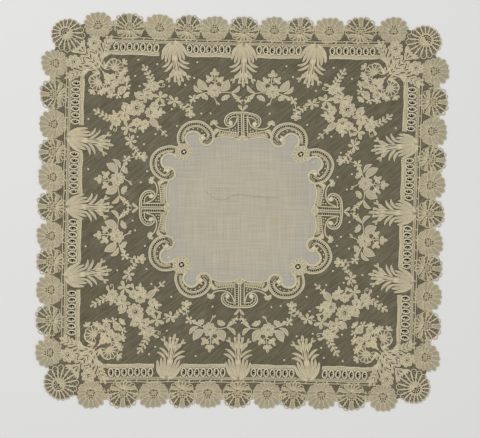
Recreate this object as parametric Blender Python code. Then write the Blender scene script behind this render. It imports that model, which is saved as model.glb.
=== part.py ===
"""Lace handkerchief with a linen centre, lying flat. Metres, +Z up, origin at the middle of the underside.

The pattern is drawn once in millimetres on an even square: "along" runs along a side from its middle
and "out" runs outwards from the centre. Each motif is turned to its side or corner, and one gentle
pull, the lay of the old cloth, then gives the whole sheet its uneven outline.
"""
import math
from collections import namedtuple

import bmesh
import bpy
from mathutils.geometry import delaunay_2d_cdt

MM = 0.001

# Heights of the two layers, in mm: the base of net and linen, and the pieces applied on it.
BASE = (0.0, 1.0)
APPLIED = (1.3, 2.3)
SEAM_GAP = 0.9

# Driving sizes of the pattern, in mm.
SHELL_OUT = 173.8
SHELL_HEIGHT = 12.6
EDGING_IN = 160.9
EDGING_OUT = 171.0
EDGING_END = 127.0
BRAID_STEPS = 3
BAND_IN = 145.8
BAND_OUT = 160.4
PALMETTE_OUT = 160.1
EYELET_OUT = 153.4
EYELET_WIDTH = 2.6
EYELET_LENGTH = 6.2
EYELETS = 7
SLOT_WIDTH = 7.4
CORNER_ROSETTE = 162.0
CORNER_ROSETTE_RADIUS = 16.0
NET_INSET = 0.5
SIDES = 4
SHELL_SIDES = 6
SHELL_TURN = 0.5
ROSETTE_SIDES = 8
FLOWER_SIDES = 6
LEAF_BELLY = 0.62
LEAF_FOOT = 0.5

# How far the worn cloth is pulled from the even square at nine places, in mm.
# across and up are -1, 0 or 1: the middle or an end of the LAY_REACH square.
Pull = namedtuple("Pull", "across up right forward")
LAY_REACH = 165.0
LAY = (
    Pull(-1, 1, 0.33, 1.65), Pull(0, 1, 1.83, -3.85), Pull(1, 1, 6.73, -4.85),
    Pull(-1, 0, -3.87, 4.55), Pull(0, 0, -0.97, 1.95), Pull(1, 0, 1.23, -1.85),
    Pull(-1, -1, -6.27, 3.15), Pull(0, -1, -4.17, 3.65), Pull(1, -1, -3.47, -0.65),
)

# Shells of the edging, from the middle of a side outwards; the others mirror these.
Shell = namedtuple("Shell", "along half_width")
SHELLS = (
    Shell(0.0, 13.2), Shell(27.3, 12.9), Shell(51.0, 12.3),
    Shell(77.4, 13.4), Shell(105.3, 13.8), Shell(134.8, 12.8),
)

# Strips of eyelets between the palmettes: where each starts and ends, and its first eyelet and step.
Strip = namedtuple("Strip", "name start end first step")
STRIPS = (
    Strip("inner", 11.9, 51.9, 14.3, 5.92),
    Strip("outer", 77.2, 121.2, 80.2, 6.1),
)

# Pieces that a motif is made of. A leaf runs from its foot to its tip and swells between them.
Leaf = namedtuple("Leaf", "foot_x foot_y tip_x tip_y width")
Disc = namedtuple("Disc", "x y radius")

# A palmette hangs from its foot at (0, 0) inwards, along -y. One half; the other mirrors it.
PALMETTE = (
    Leaf(0.0, 0.0, 0.0, -43.0, 8.5),
    Leaf(0.5, -1.0, 10.0, -19.0, 8.0),
    Leaf(0.0, -11.0, 13.2, -27.0, 5.0),
    Leaf(0.5, -23.0, 9.2, -35.0, 5.0),
)
Palmette = namedtuple("Palmette", "name along lean")
PALMETTES = (
    Palmette("left", -66.0, 10.0), Palmette("middle", 0.0, 0.0), Palmette("right", 66.0, -10.0),
)

# Corner motif, on the corner's diagonal. The rows of *_PAIR are mirrored in the diagonal.
CORNER = (
    Disc(CORNER_ROSETTE, CORNER_ROSETTE, CORNER_ROSETTE_RADIUS),
    Leaf(130.0, 130.0, 152.0, 152.0, 10.0),
    Disc(124.5, 124.5, 8.4),
    Leaf(121.0, 121.0, 105.5, 105.5, 9.0),
)
CORNER_PAIR = (
    Disc(139.0, 155.0, 6.0),
    Leaf(133.0, 137.0, 139.0, 156.0, 6.0),
    Leaf(131.0, 136.0, 126.0, 160.2, 7.0),
    Disc(119.5, 133.0, 8.6),
    Leaf(117.0, 126.0, 102.0, 120.5, 8.0),
    Leaf(114.0, 130.0, 103.0, 138.5, 6.0),
)

# Bouquet inside each corner, with the same diagonal.
BOUQUET = (
    Disc(95.0, 95.0, 8.0),
    Leaf(96.0, 96.0, 68.5, 68.5, 19.0),
)
BOUQUET_PAIR = (
    Leaf(94.0, 97.0, 79.0, 121.0, 10.0),
    Leaf(81.0, 115.0, 91.5, 135.5, 8.5),
    Leaf(85.0, 116.5, 71.5, 119.5, 5.0),
    Leaf(90.0, 96.0, 72.0, 107.5, 10.0),
    Leaf(79.0, 102.5, 58.0, 102.5, 8.5),
    Leaf(64.5, 104.5, 51.8, 92.6, 4.4),
    Leaf(84.0, 92.0, 72.5, 90.0, 5.0),
)

# Sprig on one half of a side, with its garlands to the bracket and to the corner scroll.
SPRIG = (
    Disc(27.0, 113.5, 6.6),
    Leaf(26.0, 116.0, 26.6, 134.4, 7.0),
    Leaf(25.5, 120.0, 33.0, 128.0, 5.6),
    Leaf(25.0, 119.0, 18.6, 128.0, 5.6),
    Leaf(32.0, 113.2, 42.0, 124.0, 8.0),
    Leaf(22.0, 113.2, 13.4, 124.4, 8.0),
    Leaf(26.0, 110.0, 4.6, 118.6, 4.4),
    Leaf(15.0, 113.6, 1.8, 101.8, 5.0),
    Leaf(26.0, 112.0, 46.0, 118.2, 4.0),
    Leaf(32.0, 113.0, 48.8, 103.0, 6.0),
    Leaf(46.4, 108.5, 47.4, 84.8, 6.0),
)

# Corner of the cartouche: one C-scroll, its curl, and the flower on the diagonal.
SCROLL = Disc(41.5, 66.5, 17.6)
SCROLL_BAND = 12.2
SCROLL_START = -28.0
SCROLL_TURN = 236.0
SCROLL_STEPS = 7
CURL = Disc(33.6, 64.4, 4.6)
CARTOUCHE_FLOWER = Disc(53.5, 53.5, 8.4)

# Bracket in the middle of each side of the cartouche. One half; the other mirrors it.
BRACKET = (
    Leaf(0.0, 63.8, 0.0, 94.8, 13.0),
    Leaf(0.0, 71.4, 23.4, 71.0, 5.6),
    Disc(9.6, 84.4, 7.4),
    Leaf(11.0, 78.0, 27.6, 81.4, 5.6),
    Leaf(0.0, 92.0, 3.8, 99.0, 2.2),
)

# Edge of the linen, under the scrolls, for one half of a side: from its middle to the diagonal.
Edge = namedtuple("Edge", "along out")
LINEN_EDGE = (
    Edge(0.0, 67.0), Edge(9.0, 69.5), Edge(26.0, 69.0), Edge(35.5, 70.8),
    Edge(43.0, 73.8), Edge(52.0, 68.5), Edge(56.8, 56.8),
)

# Colours of the materials, linear.
CREAM = (0.62, 0.55, 0.39, 1.0)
NET = (0.20, 0.17, 0.12, 1.0)
LINEN = (0.46, 0.42, 0.32, 1.0)


def clear():
    """Remove whatever the new file starts with."""
    for thing in list(bpy.data.objects):
        bpy.data.objects.remove(thing, do_unlink=True)


def weight(step, place):
    """Share of the pull at one of the three places -1, 0 and 1 that reaches a place between them."""
    if step == 0:
        return 1.0 - place * place
    return place * (place + step) / 2.0


def lay(point):
    """Where a point of the even pattern lies in the pulled cloth."""
    x, y = point
    across, up = x / LAY_REACH, y / LAY_REACH
    for pull in LAY:
        share = weight(pull.across, across) * weight(pull.up, up)
        x += share * pull.right
        y += share * pull.forward
    return x, y


def polygon(x, y, half_x, half_y, sides, start=0.5):
    """Points of an even oval."""
    angles = [math.tau * (step + start) / sides for step in range(sides)]
    return [(x + half_x * math.cos(angle), y + half_y * math.sin(angle)) for angle in angles]


def outline(piece):
    """Outline of a leaf or of a flower's disc."""
    if isinstance(piece, Disc):
        sides = FLOWER_SIDES if piece.radius < CORNER_ROSETTE_RADIUS else ROSETTE_SIDES
        return polygon(piece.x, piece.y, piece.radius, piece.radius, sides)
    foot_x, foot_y, tip_x, tip_y, width = piece
    length = math.hypot(tip_x - foot_x, tip_y - foot_y)
    side_x = (tip_y - foot_y) / length * width / 2.0
    side_y = (foot_x - tip_x) / length * width / 2.0
    middle_x = foot_x + (tip_x - foot_x) * LEAF_BELLY
    middle_y = foot_y + (tip_y - foot_y) * LEAF_BELLY
    return [
        (foot_x - side_x * LEAF_FOOT, foot_y - side_y * LEAF_FOOT),
        (foot_x + side_x * LEAF_FOOT, foot_y + side_y * LEAF_FOOT),
        (middle_x + side_x, middle_y + side_y),
        (tip_x, tip_y),
        (middle_x - side_x, middle_y - side_y),
    ]


def anticlockwise(shape):
    """The shape with its points running anticlockwise."""
    area = sum(x * shape[step - 1][1] - shape[step - 1][0] * y for step, (x, y) in enumerate(shape))
    return shape if area < 0.0 else shape[::-1]


def mirror_along(shape):
    """The same shape on the other half of a side."""
    return [(-x, y) for x, y in reversed(shape)]


def mirror_diagonal(shape):
    """The same shape on the other side of a corner's diagonal."""
    return [(y, x) for x, y in reversed(shape)]


def turn(shape, degrees):
    """The shape turned about the centre of the cloth."""
    cosine, sine = math.cos(math.radians(degrees)), math.sin(math.radians(degrees))
    return [(x * cosine - y * sine, x * sine + y * cosine) for x, y in shape]


def to_side(shapes, side):
    """Shapes drawn for the top side, turned to another side or corner: 0 top, 1 left, 2 bottom, 3 right."""
    return [turn(shape, 90.0 * side) for shape in shapes]


def material(name, colour, roughness):
    """Plain material of one colour."""
    made = bpy.data.materials.get(name)
    if made is None:
        made = bpy.data.materials.new(name)
        made.use_nodes = True
        shader = made.node_tree.nodes["Principled BSDF"]
        shader.inputs["Base Color"].default_value = colour
        shader.inputs["Roughness"].default_value = roughness
        shader.inputs["Metallic"].default_value = 0.0
    return made


def cut_cloth(name, shapes, holes, layer, finish):
    """One flat piece: the union of the shapes less the holes, laid on the cloth and given its thickness."""
    points = []
    faces = []
    for shape in shapes + holes:
        start = len(points)
        points += [lay(point) for point in anticlockwise(shape)]
        faces.append(list(range(start, len(points))))
    found, _, triangles, _, _, owners = delaunay_2d_cdt(points, [], faces, 1, 1e-6)
    mesh = bmesh.new()
    corners = [mesh.verts.new((point.x * MM, point.y * MM, layer[0] * MM)) for point in found]
    for triangle, owner in zip(triangles, owners):
        if owner and max(owner) < len(shapes):
            mesh.faces.new([corners[index] for index in triangle])
    loose = [corner for corner in mesh.verts if not corner.link_faces]
    bmesh.ops.delete(mesh, geom=loose, context="VERTS")
    inner = [corner for corner in mesh.verts if not corner.is_boundary]
    bmesh.ops.dissolve_limit(mesh, angle_limit=0.01, verts=inner, edges=mesh.edges[:])
    bmesh.ops.triangulate(mesh, faces=mesh.faces[:])
    raised = bmesh.ops.extrude_face_region(mesh, geom=mesh.faces[:])["geom"]
    rise = (0.0, 0.0, (layer[1] - layer[0]) * MM)
    bmesh.ops.translate(mesh, verts=[v for v in raised if isinstance(v, bmesh.types.BMVert)], vec=rise)
    bmesh.ops.recalc_face_normals(mesh, faces=mesh.faces[:])
    data = bpy.data.meshes.new(name)
    mesh.to_mesh(data)
    mesh.free()
    data.materials.append(finish)
    piece = bpy.data.objects.new(name, data)
    bpy.context.collection.objects.link(piece)
    return piece


def both_halves(pieces):
    """Outlines of the pieces on one half of a side and on the other."""
    shapes = [outline(piece) for piece in pieces]
    return shapes + [mirror_along(shape) for shape in shapes]


def shells(inset):
    """Outlines of the shells along one side."""
    shapes = []
    for shell in SHELLS:
        across, height = shell.half_width - inset, SHELL_HEIGHT - inset
        shape = polygon(shell.along, SHELL_OUT, across, height, SHELL_SIDES, SHELL_TURN)
        shapes.append(shape)
        if shell.along:
            shapes.append(mirror_along(shape))
    return shapes


def linen_outline(grow):
    """Edge of the linen all round, made larger by grow."""
    half = [(edge.along, edge.out) for edge in LINEN_EDGE]
    quarter = half + mirror_diagonal(half)[1:]
    ring = []
    for side in range(SIDES):
        ring += turn(quarter[:-1], -90.0 * side)
    centre_distance = [math.hypot(x, y) for x, y in ring]
    return [(x * (1.0 + grow / far), y * (1.0 + grow / far)) for (x, y), far in zip(ring, centre_distance)]


def slots():
    """Where the net is cut away behind the rows of eyelets, on the top side."""
    shapes = []
    for strip in STRIPS:
        low, high = EYELET_OUT - SLOT_WIDTH / 2.0, EYELET_OUT + SLOT_WIDTH / 2.0
        start = strip.first - EYELET_WIDTH
        end = strip.first + (EYELETS - 1) * strip.step + EYELET_WIDTH * 0.8
        shape = [(start, low), (end, low), (end, high), (start, high)]
        shapes += [shape, mirror_along(shape)]
    return shapes


def net_ground(finish):
    """The sheet of net, scalloped outside and open in the middle."""
    reach = CORNER_ROSETTE
    shapes = [[(-reach, -reach), (reach, -reach), (reach, reach), (-reach, reach)]]
    holes = [linen_outline(SEAM_GAP)]
    for side in range(SIDES):
        radius = CORNER_ROSETTE_RADIUS - NET_INSET
        rosette = polygon(reach, reach, radius, radius, ROSETTE_SIDES)
        strip = [(-reach, BAND_IN), (reach, BAND_IN), (EDGING_END, EDGING_OUT), (-EDGING_END, EDGING_OUT)]
        shapes += to_side([rosette, strip] + shells(NET_INSET), side)
        holes += to_side(slots(), side)
    cut_cloth("net_ground", shapes, holes, BASE, finish)


def edging(side, finish):
    """Eleven shells with the braid that they stand on."""
    steps = range(-BRAID_STEPS, BRAID_STEPS + 1)
    braid = [(EDGING_END * step / BRAID_STEPS, EDGING_IN) for step in steps]
    braid += [(EDGING_END, EDGING_OUT), (-EDGING_END, EDGING_OUT)]
    cut_cloth(f"edging_{side + 1}", to_side([braid] + shells(0.0), side), [], APPLIED, finish)


def band_strips(side, finish):
    """Four strips of eyelets along one side."""
    for strip in STRIPS:
        shape = [(strip.start, BAND_IN), (strip.end, BAND_IN), (strip.end, BAND_OUT), (strip.start, BAND_OUT)]
        eyelets = []
        for step in range(EYELETS):
            along = strip.first + step * strip.step
            eyelets.append(polygon(along, EYELET_OUT, EYELET_WIDTH / 2.0, EYELET_LENGTH / 2.0, 4, 0.0))
        for half, flip in (("a", list), ("b", mirror_along)):
            name = f"band_{strip.name}_{side + 1}{half}"
            holes = [flip(eyelet) for eyelet in eyelets]
            cut_cloth(name, to_side([flip(shape)], side), to_side(holes, side), APPLIED, finish)


def palmettes(side, finish):
    """Three palmettes with their feet on the outer braid of the band."""
    for palmette in PALMETTES:
        shapes = []
        for shape in both_halves(PALMETTE):
            leaning = turn(shape, palmette.lean)
            shapes.append([(x + palmette.along, y + PALMETTE_OUT) for x, y in leaning])
        cut_cloth(f"palmette_{palmette.name}_{side + 1}", to_side(shapes, side), [], APPLIED, finish)


def diagonal_motif(name, side, alone, paired, finish):
    """A motif on a corner's diagonal, in its corner."""
    shapes = [outline(piece) for piece in alone + paired]
    shapes += [mirror_diagonal(outline(piece)) for piece in paired]
    cut_cloth(f"{name}_{side + 1}", to_side(shapes, side), [], APPLIED, finish)


def sprigs(side, finish):
    """Two sprigs, one on each half of a side."""
    shapes = [outline(piece) for piece in SPRIG]
    for half, flip in (("a", list), ("b", mirror_along)):
        flipped = [flip(shape) for shape in shapes]
        cut_cloth(f"sprig_{side + 1}{half}", to_side(flipped, side), [], APPLIED, finish)


def corner_scroll(side, finish):
    """Two C-scrolls and the flower between them, on one corner of the cartouche."""
    angles = [SCROLL_START + SCROLL_TURN * step / SCROLL_STEPS for step in range(SCROLL_STEPS + 1)]
    outer = []
    inner = []
    for angle in angles:
        cosine, sine = math.cos(math.radians(angle)), math.sin(math.radians(angle))
        outer.append((SCROLL.x + SCROLL.radius * cosine, SCROLL.y + SCROLL.radius * sine))
        short = SCROLL.radius - SCROLL_BAND
        inner.append((SCROLL.x + short * cosine, SCROLL.y + short * sine))
    arc = outer + inner[::-1]
    halves = [arc, outline(CURL)]
    shapes = halves + [mirror_diagonal(shape) for shape in halves] + [outline(CARTOUCHE_FLOWER)]
    cut_cloth(f"corner_scroll_{side + 1}", to_side(shapes, side), [], APPLIED, finish)


def bracket(side, finish):
    """Two volutes on a stem, in the middle of one side of the cartouche."""
    cut_cloth(f"bracket_{side + 1}", to_side(both_halves(BRACKET), side), [], APPLIED, finish)


def build():
    """The whole handkerchief."""
    clear()
    lace = material("cream lace", CREAM, 0.85)
    net = material("fine net", NET, 0.9)
    linen = material("fine linen", LINEN, 0.8)
    net_ground(net)
    cut_cloth("linen_centre", [linen_outline(0.0)], [], BASE, linen)
    for side in range(SIDES):
        edging(side, lace)
        band_strips(side, lace)
        palmettes(side, lace)
        diagonal_motif("corner", side, CORNER, CORNER_PAIR, lace)
        diagonal_motif("bouquet", side, BOUQUET, BOUQUET_PAIR, lace)
        sprigs(side, lace)
        corner_scroll(side, lace)
        bracket(side, lace)


build()
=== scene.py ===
# %% [markdown]
# # A lace handkerchief, laid flat
# The real piece is an old handkerchief: a small square of fine linen in a wide frame of lace. The lace
# was made in bobbin and needle motifs, which were sewn on machine net and edged with scalloped shells.
# This lesson makes the linen, the net and every motif as its own piece of cloth. Each motif is drawn once
# on an even square, in millimetres, and is then turned to the four sides and pulled as the worn cloth is.

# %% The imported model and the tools
import math

import bmesh
import bpy
import numpy as np
from mathutils import Matrix, Vector
from mathutils.kdtree import KDTree


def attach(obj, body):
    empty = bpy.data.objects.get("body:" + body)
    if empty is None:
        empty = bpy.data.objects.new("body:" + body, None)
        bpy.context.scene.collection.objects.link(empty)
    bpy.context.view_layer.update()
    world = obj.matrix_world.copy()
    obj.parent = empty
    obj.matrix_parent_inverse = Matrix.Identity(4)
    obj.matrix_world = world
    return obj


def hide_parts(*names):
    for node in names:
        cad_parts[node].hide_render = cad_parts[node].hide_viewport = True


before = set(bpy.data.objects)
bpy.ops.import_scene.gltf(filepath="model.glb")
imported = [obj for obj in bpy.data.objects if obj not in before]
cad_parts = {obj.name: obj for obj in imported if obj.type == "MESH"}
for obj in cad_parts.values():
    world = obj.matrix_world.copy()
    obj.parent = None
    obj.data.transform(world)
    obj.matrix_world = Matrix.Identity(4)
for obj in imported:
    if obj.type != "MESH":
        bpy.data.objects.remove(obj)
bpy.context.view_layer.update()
MM = 0.001
SIDES = 4

# %% [markdown]
# ## Camera
# The cloth is seen from straight above, as on a copy stand. A long lens far away keeps its edges straight,
# so the camera stands two metres up and its lens is worked out from the width that it has to frame.

# %% Camera above the cloth
VIEW_CENTRE = (-0.00206, -0.00693)
VIEW_WIDTH = 0.4464
VIEW_HEIGHT = 2.0
SENSOR = 36.0
camera_lens = bpy.data.cameras.new("camera")
camera_lens.sensor_width = SENSOR
camera_lens.lens = SENSOR * VIEW_HEIGHT / VIEW_WIDTH
camera = bpy.data.objects.new("camera", camera_lens)
camera.location = (*VIEW_CENTRE, VIEW_HEIGHT)
bpy.context.collection.objects.link(camera)
bpy.context.scene.camera = camera
print("lens", round(camera_lens.lens, 1), "mm")

# %% [markdown]
# ## The lay of the old cloth
# An old handkerchief is never quite square: washing and pinning pull it. The pull is known at nine places,
# the corners, the middles of the sides and the centre, and a smooth surface through them gives it anywhere.
# A small waver, as of hand work, and a soft ripple in height are added, and every piece gets all three.

# %% Pull, waver and ripple
LAY_REACH = 165.0
PULLS = (
    (-1, 1, 0.33, 1.65), (0, 1, 1.83, -3.85), (1, 1, 6.73, -4.85),
    (-1, 0, -3.87, 4.55), (0, 0, -0.97, 1.95), (1, 0, 1.23, -1.85),
    (-1, -1, -6.27, 3.15), (0, -1, -4.17, 3.65), (1, -1, -3.47, -0.65),
)
WAVER = 0.28
RIPPLE = 0.1


def pull_share(step, place):
    """Share of the pull at -1, 0 or 1 that reaches a place between them."""
    if step == 0:
        return 1.0 - place * place
    return place * (place + step) / 2.0


def lay(points):
    """Points of the even pattern, in mm, where they lie in the pulled and rippled cloth."""
    x, y = points[:, 0], points[:, 1]
    laid = points.copy()
    for across, up, right, forward in PULLS:
        share = pull_share(across, x / LAY_REACH) * pull_share(up, y / LAY_REACH)
        laid[:, 0] += share * right
        laid[:, 1] += share * forward
    laid[:, 0] += WAVER * (np.sin(0.19 * y + 0.05 * x) + 0.5 * np.sin(0.43 * y + 1.7))
    laid[:, 1] += WAVER * (np.sin(0.17 * x - 0.06 * y + 2.0) + 0.5 * np.sin(0.47 * x + 0.6))
    laid[:, 2] += RIPPLE * (np.sin(0.061 * x + 0.9) * np.sin(0.047 * y + 0.4) + np.sin(0.11 * x - 0.09 * y))
    return laid


print("the top middle lies at", lay(np.array([[0.0, 160.0, 0.0]])).round(2))

# %% [markdown]
# ## Threads
# All the lace is made of two things: a cord, which is one thick thread, and a patch of cloth stitch with a
# raised cord round it. A cord is a curve with a round bevel, made a mesh. A patch starts as a circle that is
# squeezed to a petal. Extrude gives it a wall, and two insets raise the cord and let the cloth sink again.
# The vertex value "fill" is 1 on the sunk cloth and 0 on cords, so that a material can tell them apart.

# %% Heights of the layers, and sizes of the threads, in mm
NET_HEIGHT = 0.45
LINEN_HEIGHT = 0.55
STITCH_HEIGHT = 0.65
WALL = 0.15
CORD_RISE = 0.3
CORD_DIP = 0.22
CORD_WIDTH = 0.8
THREAD = 0.6
CORD_FLATNESS = 0.7
LIFT = 0.035
LIFTS = 5
WAIST = 0.35
SWELL_PEAK = 0.74


def new_cloth():
    """An empty mesh for stitches."""
    cloth = bmesh.new()
    cloth.verts.layers.float.new("fill")
    return cloth


def next_height(cloth):
    """Height of the next stitch: they differ a little, so that stitches that cross don't share a face."""
    return STITCH_HEIGHT + LIFT * (len(cloth.faces) % LIFTS)


def petal(cloth, foot, tip, width, bend=0.0, point=0.0, waist=WAIST, corners=12):
    """A patch of cloth stitch from foot to tip with a raised cord round it."""
    foot, tip = Vector(foot), Vector(tip)
    length = (tip - foot).length
    side = Vector((tip.y - foot.y, foot.x - tip.x)) / length
    low = next_height(cloth)
    outline = bmesh.ops.create_circle(cloth, cap_ends=True, segments=corners, radius=0.5)["verts"]
    for corner in outline:
        share = corner.co.y + 0.5
        swell = (waist + (1.0 - waist) * share) / SWELL_PEAK * (1.0 - point * share ** 3)
        across = corner.co.x * width * swell + 4.0 * bend * length * share * (1.0 - share)
        spot = foot + (tip - foot) * share + side * across
        corner.co = (spot.x, spot.y, low)
    patch = outline[0].link_faces[0]
    patch.normal_update()
    if patch.normal.z < 0.0:
        patch.normal_flip()
    grown = bmesh.ops.extrude_face_region(cloth, geom=[patch])["geom"]
    top = next(part for part in grown if isinstance(part, bmesh.types.BMFace))
    bmesh.ops.translate(cloth, verts=top.verts[:], vec=(0.0, 0.0, WALL))
    top.normal_update()
    rim = min(CORD_WIDTH, 0.32 * width) / 2.0
    up = math.copysign(1.0, top.normal.z)
    bmesh.ops.inset_individual(cloth, faces=[top], thickness=rim, depth=CORD_RISE * up)
    bmesh.ops.inset_individual(cloth, faces=[top], thickness=rim, depth=-CORD_DIP * up)
    fill = cloth.verts.layers.float["fill"]
    for corner in top.verts:
        corner[fill] = 1.0


def cord(cloth, points, width=THREAD, closed=False, smooth=True, rise=0.0):
    """A thread laid through points."""
    line = bpy.data.curves.new("thread", "CURVE")
    line.dimensions = "3D"
    line.bevel_depth = width / 2.0
    line.bevel_resolution = 0
    line.use_fill_caps = True
    line.resolution_u = 3
    run = line.splines.new("NURBS" if smooth else "POLY")
    run.points.add(len(points) - 1)
    for spot, (x, y) in zip(run.points, points):
        spot.co = (x, y, 0.0, 1.0)
    run.order_u = 3
    run.use_endpoint_u = not closed
    run.use_cyclic_u = closed
    holder = bpy.data.objects.new("thread", line)
    thread = bpy.data.meshes.new_from_object(holder)
    flat = Matrix.Diagonal((1.0, 1.0, CORD_FLATNESS, 1.0))
    thread.transform(Matrix.Translation((0.0, 0.0, next_height(cloth) + WALL + rise)) @ flat)
    cloth.from_mesh(thread)
    bpy.data.objects.remove(holder)
    bpy.data.curves.remove(line)
    bpy.data.meshes.remove(thread)


def knot(cloth, x, y, radius):
    """A small knot of thread."""
    spot = Matrix.Translation((x, y, next_height(cloth) + WALL)) @ Matrix.Diagonal((1.0, 1.0, 0.5, 1.0))
    bmesh.ops.create_icosphere(cloth, subdivisions=1, radius=radius, matrix=spot)


def around(centre, angle, reach_x, reach_y=None):
    """The point at an angle in degrees and a reach from a centre."""
    turned = math.radians(angle)
    up = reach_x if reach_y is None else reach_y
    return centre[0] + reach_x * math.cos(turned), centre[1] + up * math.sin(turned)


def arc(centre, radius, start, end, steps):
    """Points on an arc, its ends included."""
    return [around(centre, start + (end - start) * step / steps, radius) for step in range(steps + 1)]


def ring(cloth, centre, width, height, rim, steps=12):
    """A ring of cord."""
    points = [around(centre, 360.0 * step / steps, width / 2.0, height / 2.0) for step in range(steps)]
    cord(cloth, points, rim, closed=True, smooth=False)


trial = new_cloth()
petal(trial, (0.0, 0.0), (0.0, 8.0), 4.0)
print("one petal has", len(trial.faces), "faces")
trial.free()

# %% [markdown]
# ## Small motifs
# The lacemaker's flowers, leaves and sprays are a few petals each, so they are loops over the petal. A
# flower with an eye has a ring of cord round a real hole. The net behind it has to be cut away too, so each
# hole is remembered in a list next to the stitches.

# %% Fans, flowers, leaves and sprays
EYE_RIM = 0.8


def fan(cloth, foot, heading, spread, count, length, width, start=0.0, **shape):
    """Petals spread evenly about a heading, in degrees."""
    for step in range(count):
        angle = heading + spread * (step / (count - 1.0) - 0.5)
        petal(cloth, around(foot, angle, start), around(foot, angle, length), width, **shape)


def eyelet(cloth, holes, centre, radius, rim=EYE_RIM, seed=True):
    """A round hole in a ring of cord, often with a knot hung in it."""
    ring(cloth, centre, 2.0 * radius + rim, 2.0 * radius + rim, rim, 10)
    holes.append([around(centre, 45.0 * step, radius + 0.2) for step in range(8)])
    if seed:
        knot(cloth, centre[0] + 0.15 * radius, centre[1] - 0.2 * radius, 0.5 * radius)
        cord(cloth, [around(centre, 100.0, radius), around(centre, 280.0, radius)], 0.3, smooth=False)


def ladder(cloth, holes, points, width, rung=0.55):
    """Rungs of thread across a slot, which is cut in the net."""
    run = [Vector(point) for point in points]
    left, right = [], []
    for step, spot in enumerate(run):
        ahead = run[min(step + 1, len(run) - 1)] - run[max(step - 1, 0)]
        side = Vector((-ahead.y, ahead.x)).normalized() * width / 2.0
        left.append((spot + side)[:])
        right.append((spot - side)[:])
        cord(cloth, [(spot + side * 1.4)[:], (spot - side * 1.4)[:]], rung, smooth=False)
    holes.append(left + right[::-1])


def flower(cloth, holes, centre, radius, petals=8, eye=0.0, turned=0.0):
    """A round flower of petals, with or without an eye."""
    start = eye + 0.7 if eye else 0.22 * radius
    width = 0.68 * math.tau * radius / petals
    for step in range(petals):
        angle = turned + 360.0 * step / petals
        petal(cloth, around(centre, angle, start), around(centre, angle, radius), width, waist=0.5)
    if eye:
        eyelet(cloth, holes, centre, eye)
    else:
        ring(cloth, centre, 0.34 * radius, 0.34 * radius, 0.6, 8)


def star(cloth, centre, radius, petals=5, turned=0.0):
    """A flower of pointed petals with veins."""
    for step in range(petals):
        angle = turned + 360.0 * step / petals + 7.0 * math.sin(2.3 * step)
        reach = radius * (1.0 + 0.1 * math.cos(3.1 * step))
        tip = around(centre, angle, reach)
        petal(cloth, around(centre, angle, 0.5), tip, 0.62 * radius, point=0.5, waist=0.2)
        vein = [around(centre, angle, 0.8), around(centre, angle, 0.72 * reach)]
        cord(cloth, vein, 0.5, smooth=False, rise=0.1)
    knot(cloth, *centre, 0.9)


def leaf(cloth, foot, tip, width, bend=0.0, point=0.8, waist=0.75):
    """A broad pointed leaf with a midrib."""
    petal(cloth, foot, tip, width * 0.92, bend, point, waist, corners=14)
    foot, tip = Vector(foot), Vector(tip)
    side = Vector((tip.y - foot.y, foot.x - tip.x)) * bend
    middle = foot.lerp(tip, 0.4) + side
    cord(cloth, [foot[:], middle[:], foot.lerp(tip, 0.8)[:]], 0.5, rise=0.1)


def trefoil(cloth, foot, heading, length, width):
    """Three small leaves on one foot."""
    fan(cloth, foot, heading, 110.0, 3, length, width, start=0.2)


def lobed_leaf(cloth, foot, heading, length, width):
    """A leaf of three lobes, with a long middle one."""
    for turned, share in ((62.0, 0.72), (-62.0, 0.72), (0.0, 1.0)):
        start = around(foot, heading + turned, 0.2)
        petal(cloth, start, around(foot, heading + turned, length * share), width, point=0.6, waist=0.6)
        vein = [foot, around(foot, heading + turned, length * share * 0.7)]
        cord(cloth, vein, 0.45, smooth=False, rise=0.12)


def spray(cloth, points, leaves, length, width, angle=48.0):
    """A stem with pairs of small leaves and one at its tip."""
    cord(cloth, points, 0.9)
    run = [Vector(point) for point in points]
    for step in range(leaves):
        share = (step + 0.6) / leaves * (len(run) - 1)
        piece = min(int(share), len(run) - 2)
        spot = run[piece].lerp(run[piece + 1], share - piece)
        heading = math.degrees(math.atan2(*(run[piece + 1] - run[piece]).yx))
        for turned in (angle, -angle):
            petal(cloth, spot[:], around(spot, heading + turned, length), width, corners=10)
    end = math.degrees(math.atan2(*(run[-1] - run[-2]).yx))
    petal(cloth, run[-1][:], around(run[-1], end, length), width, corners=10)


def add_mirrored(cloth, holes, first_face, first_hole, matrix):
    """Add the mirror image of the newer stitches and holes."""
    cloth.faces.ensure_lookup_table()
    faces = cloth.faces[first_face:]
    parts = {vert for face in faces for vert in face.verts} | {edge for face in faces for edge in face.edges}
    copied = bmesh.ops.duplicate(cloth, geom=faces + list(parts))["geom"]
    verts = [part for part in copied if isinstance(part, bmesh.types.BMVert)]
    bmesh.ops.transform(cloth, matrix=matrix, verts=verts)
    for hole in holes[first_hole:]:
        holes.append([(matrix @ Vector((x, y, 0.0)))[:2] for x, y in hole])


MIRROR_ALONG = Matrix(((-1, 0, 0, 0), (0, 1, 0, 0), (0, 0, 1, 0.01), (0, 0, 0, 1)))
MIRROR_DIAGONAL = Matrix(((0, 1, 0, 0), (1, 0, 0, 0), (0, 0, 1, 0.01), (0, 0, 0, 1)))

# %% [markdown]
# ## Placing a motif
# A finished motif is a mesh on the top side or in the top right corner of the even square. Placing it turns
# a copy to its side, lays it in the pulled cloth and changes millimetres to metres. The object itself stays
# at the origin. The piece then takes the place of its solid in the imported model.

# %% Placing, and the lists that it fills
lace_pieces = []
net_holes = []
stitch_spots = []
materials = {}


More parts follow.
